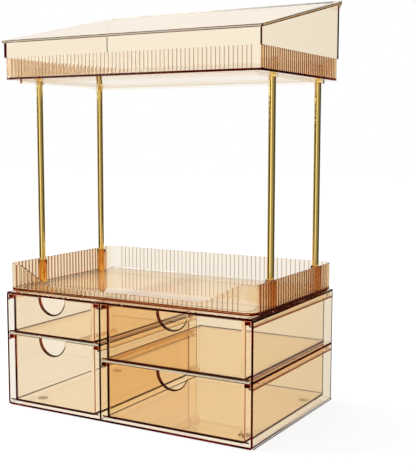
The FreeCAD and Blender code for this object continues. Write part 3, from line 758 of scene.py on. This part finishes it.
def make_edge_lines():
    """Lines of painted shade where the eye looks along a sheet: tub floors, case rims and bin
    corners.
    """
    for bay, left, right, low, top, grip in BAYS:
        edge_line(f"{bay}_floor_line", three_sides(left, right, -103.2, 95.8, 2.5),
                  low + 0.2, low + 2.6, f"{bay}_drawer_body")
        wide_left, wide_right = (corner.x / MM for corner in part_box(f"{bay}_drawer"))
        ends = [Vector((x, FRONT_FACE_Y, low)) for x in (wide_left + 0.6, wide_right - 0.6)]
        strip(f"{bay}_front_line", strip_corners(ends, BACKWARD, UPWARD, 0.5, 2.1), shade_satin,
              f"{bay}_drawer_body")
        grip_shade(f"{bay}_grip_line", grip, top, f"{bay}_drawer_body")
    rim = three_sides(-160.0, 160.0, -105.4, 101.9, 1.5)
    edge_line("case_foot_line", rim, 1.1, 2.4, "frame")
    edge_line("case_top_line", rim, 132.6, 133.8, "frame")
    # Painted shade in the slits between the case's top and the tray
    edge_line("tray_right_gap_line", [(158.8, 86.0), (158.8, -91.0)], 134.3, 135.8, "frame")
    edge_line("tray_left_gap_line", [(-158.8, -91.0), (-158.8, 86.0)], 134.3, 135.8, "frame")

    def wall_top(y):
        return 416.7 + (y + 99.0) * math.tan(LID_SLOPE)

    for name, x, y, start in (("front_right", 161.6, -97.8, 0), ("front_left", -161.6, -97.8, 270),
                              ("rear_right", 161.6, 97.9, 90), ("rear_left", -161.6, 97.9, 180)):
        edge_line(f"bin_{name}_line", round_turn(x, y, 1.2, start), 401.0, wall_top, "frame")


def make_cut_edges():
    """Satin cut edges of the lid's front and sides and of the shelves' fronts, the fronts painted
    pale as a highlight, with lines of painted shade under the lid's edges.
    """
    # The front edges are painted near white as a highlight over their satin grain; the side edges
    # keep the sheet's golden colour
    pale = satin("front_cut_edge_highlight", (0.98, 0.93, 0.78), (0.96, 0.87, 0.66))
    warm = satin("side_cut_edge", (0.93, 0.70, 0.36), (0.80, 0.48, 0.18))
    along = Vector((0, math.cos(LID_SLOPE), math.sin(LID_SLOPE)))
    upright = Vector((0, -math.sin(LID_SLOPE), math.cos(LID_SLOPE)))
    corner = Vector((0, -100.09, 417.06))
    half, edge = 164.2, (0.75, 2.05)
    ends = (corner - SIDEWAYS * (half - 1.2), corner + SIDEWAYS * (half - 1.2))
    strip("lid_front_edge", strip_corners(ends, along, upright, *edge), pale, "lid_body")
    strip("lid_front_line", strip_corners(ends, along, upright, 2.15, 2.55), shade_satin, "lid_body")
    for side, way in (("left", -1), ("right", 1)):
        start = corner + SIDEWAYS * way * half
        ends, inward = (start + along * 1.4, start + along * 204.2), -SIDEWAYS * way
        strip(f"lid_{side}_edge", strip_corners(ends, inward, upright, *edge), warm, "lid_body")
        strip(f"lid_{side}_line", strip_corners(ends, inward, upright, 2.15, 2.65), shade_satin,
              "lid_body")
        low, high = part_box(f"{side}_shelf")
        ends = [Vector((x, low[1], low[2])) / MM for x in (low[0] + 0.0006, high[0] - 0.0006)]
        strip(f"{side}_shelf_edge", strip_corners(ends, BACKWARD, UPWARD, 0.3, 1.9), pale, "frame")


make_tray()
make_bin()
make_cut_edges()
make_edge_lines()

# Stage --------------------------------------------------------------------------------

# Lengths of the stage are in metres
LIGHT_BOUNCES = 64


def ray_is(tree, first, *others):
    """1 for rays of any of the kinds."""
    path = tree.nodes.new("ShaderNodeLightPath")
    found = path.outputs[first]
    for kind in others:
        found = calculate(tree, "MAXIMUM", found, path.outputs[kind])
    return found


def make_floor():
    """White floor that keeps the object's shadow; metal and glass see it white."""
    half, low = 6.0, -0.0002
    material, tree, output = new_material("white_floor")
    matte = tree.nodes.new("ShaderNodeBsdfDiffuse")
    matte.inputs["Color"].default_value = (0.30, 0.30, 0.30, 1)
    glow = tree.nodes.new("ShaderNodeEmission")
    glow.inputs["Strength"].default_value = 0.80
    both = tree.nodes.new("ShaderNodeAddShader")
    tree.links.new(matte.outputs["BSDF"], both.inputs[0])
    tree.links.new(glow.outputs["Emission"], both.inputs[1])
    seen = tree.nodes.new("ShaderNodeEmission")
    seen.inputs["Strength"].default_value = 0.97
    choice = tree.nodes.new("ShaderNodeMixShader")
    tree.links.new(ray_is(tree, "Is Transmission Ray", "Is Glossy Ray"), choice.inputs["Fac"])
    tree.links.new(both.outputs["Shader"], choice.inputs[1])
    tree.links.new(seen.outputs["Emission"], choice.inputs[2])
    tree.links.new(choice.outputs["Shader"], output.inputs["Surface"])
    floor = new_piece("floor", [(-half, -half, low), (half, -half, low), (half, half, low),
                                (-half, half, low)], [(0, 1, 2, 3)], material)


def make_world():
    """White surroundings for the camera, metal and glass; plainer light for the rest."""
    world = bpy.data.worlds.new("studio")
    world.use_nodes = True
    scene.world = world
    tree = world.node_tree
    background = tree.nodes["Background"]
    background.inputs["Color"].default_value = (1, 1, 1, 1)
    seen = ray_is(tree, "Is Camera Ray", "Is Glossy Ray", "Is Transmission Ray")
    tree.links.new(ramp_between(tree, seen, 0.7, 1.0), background.inputs["Strength"])


# (degrees from +X, brightness) of the cards around the object; none where the light is white
CARD_GLOW = [(152, 0.40), (200, 0.36), (210, 0.06), (256, 0.06), (262, 1.3), (288, 1.3),
             (296, 0.40), (348, 0.34), (356, 0.12), (396, 0.06), (442, 0.06), (452, 0.30)]
# (distance, height) of the rings of the cards that lie and stand around the object
CARD_LEVELS = [(0.001, -0.0001), (0.85, -0.0001), (2.6, -0.0001), (2.6, 0.95)]
CARD_REACH = 2.6
NEAR_GLOW = 0.06
CARD_STEP = 4
# Degrees, heights and brightness of the cards behind the object
BACK_DEGREES, BACK_HEIGHTS, BACK_GLOW = (92, 152), (0.25, 1.5), 0.98


def card_glow(angle):
    """Brightness of the cards at an angle."""
    for (start, low), (end, high) in zip(CARD_GLOW, CARD_GLOW[1:]):
        if start <= angle <= end:
            return low + (high - low) * (angle - start) / (end - start)


def make_cards():
    """Studio cards, lying and standing around the object, that only polished faces mirror."""
    first, last = CARD_GLOW[0][0], CARD_GLOW[-1][0]
    points, faces, glows = [], [], []
    for angle in range(first, last + 1, CARD_STEP):
        across, along = math.cos(math.radians(angle)), math.sin(math.radians(angle))
        points += [(reach * across, reach * along, z) for reach, z in CARD_LEVELS]
    for index in range((last - first) // CARD_STEP):
        for level in range(3):
            here, after = 4 * index + level, 4 * index + 4 + level
            faces.append((here, here + 1, after + 1, after))
            glows.append(card_glow(first + (index + 0.5) * CARD_STEP) if level else NEAR_GLOW)
    low, high = BACK_HEIGHTS
    for angle in range(*BACK_DEGREES, CARD_STEP):
        begin, end = math.radians(angle), math.radians(angle + CARD_STEP)
        start = len(points)
        points += [(CARD_REACH * math.cos(turn), CARD_REACH * math.sin(turn), z)
                   for turn, z in ((begin, low), (end, low), (end, high), (begin, high))]
        faces.append(tuple(range(start, start + 4)))
        glows.append(BACK_GLOW)
    material, tree, output = new_material("card")
    card = tree.nodes.new("ShaderNodeEmission")
    card.inputs["Color"].default_value = (1.0, 0.97, 0.93, 1)
    glow = tree.nodes.new("ShaderNodeAttribute")
    glow.attribute_name = "glow"
    tree.links.new(glow.outputs["Fac"], card.inputs["Strength"])
    tree.links.new(card.outputs["Emission"], output.inputs["Surface"])
    cards = new_piece("studio_cards", points, faces, material)
    cards.data.attributes.new("glow", "FLOAT", "FACE").data.foreach_set("value", glows)
    cards.visible_camera = False
    cards.visible_transmission = False
    cards.visible_diffuse = False
    cards.visible_shadow = False
    cards.visible_volume_scatter = False


def softbox(name, place, target, size, power):
    """Rectangular lamp that looks at a point."""
    data = bpy.data.lights.new(name, "AREA")
    data.shape = "RECTANGLE"
    data.size, data.size_y = size
    data.energy = power
    lamp = bpy.data.objects.new(name, data)
    lamp.location = place
    aim = Vector(target) - Vector(place)
    lamp.rotation_euler = aim.to_track_quat("-Z", "Y").to_euler()
    lamp.visible_transmission = False
    scene.collection.objects.link(lamp)


make_camera()
make_floor()
make_world()
make_cards()
softbox("overhead", (-0.90, -0.10, 1.50), (0, 0, 0.15), (0.5, 0.6), 20)
softbox("left_strip", (-1.5, -0.9, 1.0), (0, 0, 0.25), (0.14, 1.2), 9)

scene.view_settings.view_transform = "Standard"
scene.cycles.max_bounces = LIGHT_BOUNCES
scene.cycles.transmission_bounces = LIGHT_BOUNCES
scene.cycles.glossy_bounces = LIGHT_BOUNCES
scene.cycles.transparent_max_bounces = 48
